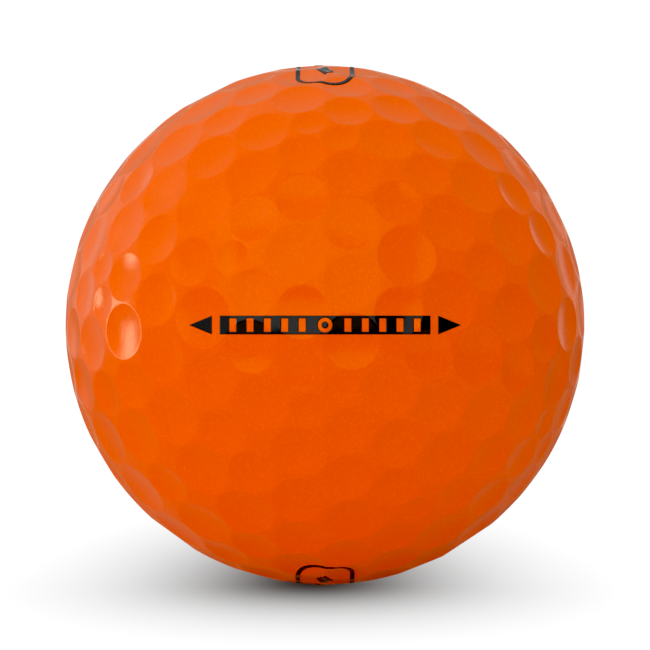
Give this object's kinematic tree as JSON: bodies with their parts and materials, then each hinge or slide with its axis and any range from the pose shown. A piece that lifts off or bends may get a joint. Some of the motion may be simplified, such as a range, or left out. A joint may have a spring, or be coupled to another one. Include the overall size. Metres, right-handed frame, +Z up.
{
  "type": "golf ball",
  "caption": "Dimpled golf ball with a solid rubber core, a moulded orange cover in two halves, and black printed alignment marks and nameplates.",
  "frame": {"origin": "The centre of the ball.", "axes": "+Z is up, through the centre of the top nameplate. -Y looks at the front alignment mark, which runs along X. +X and -X are the poles of the cover's mould, so the parting line is near the plane X = 0."},
  "size_m": [0.0426, 0.0428, 0.0428],
  "materials": {
    "core_rubber": "matt moulded rubber, never seen on a whole ball",
    "cover_ionomer": "orange with fine pearl flakes under a clear gloss coat",
    "black_ink": "black printing ink under the clear coat"
  },
  "bodies": {
    "root": {"core": "core_rubber", "cover_left": "cover_ionomer", "cover_right": "cover_ionomer", "front_alignment_bar": "black_ink", "front_alignment_dot": "black_ink", "front_arrow_left": "black_ink", "front_arrow_right": "black_ink", "rear_alignment_bar": "black_ink", "rear_alignment_dot": "black_ink", "rear_arrow_left": "black_ink", "rear_arrow_right": "black_ink", "top_emblem_ring": "black_ink", "top_play_number": "black_ink", "top_diamond_a": "black_ink", "top_diamond_b": "black_ink", "bottom_emblem_ring": "black_ink", "bottom_play_number": "black_ink", "bottom_diamond_a": "black_ink", "bottom_diamond_b": "black_ink"}
  },
  "joints": []
}
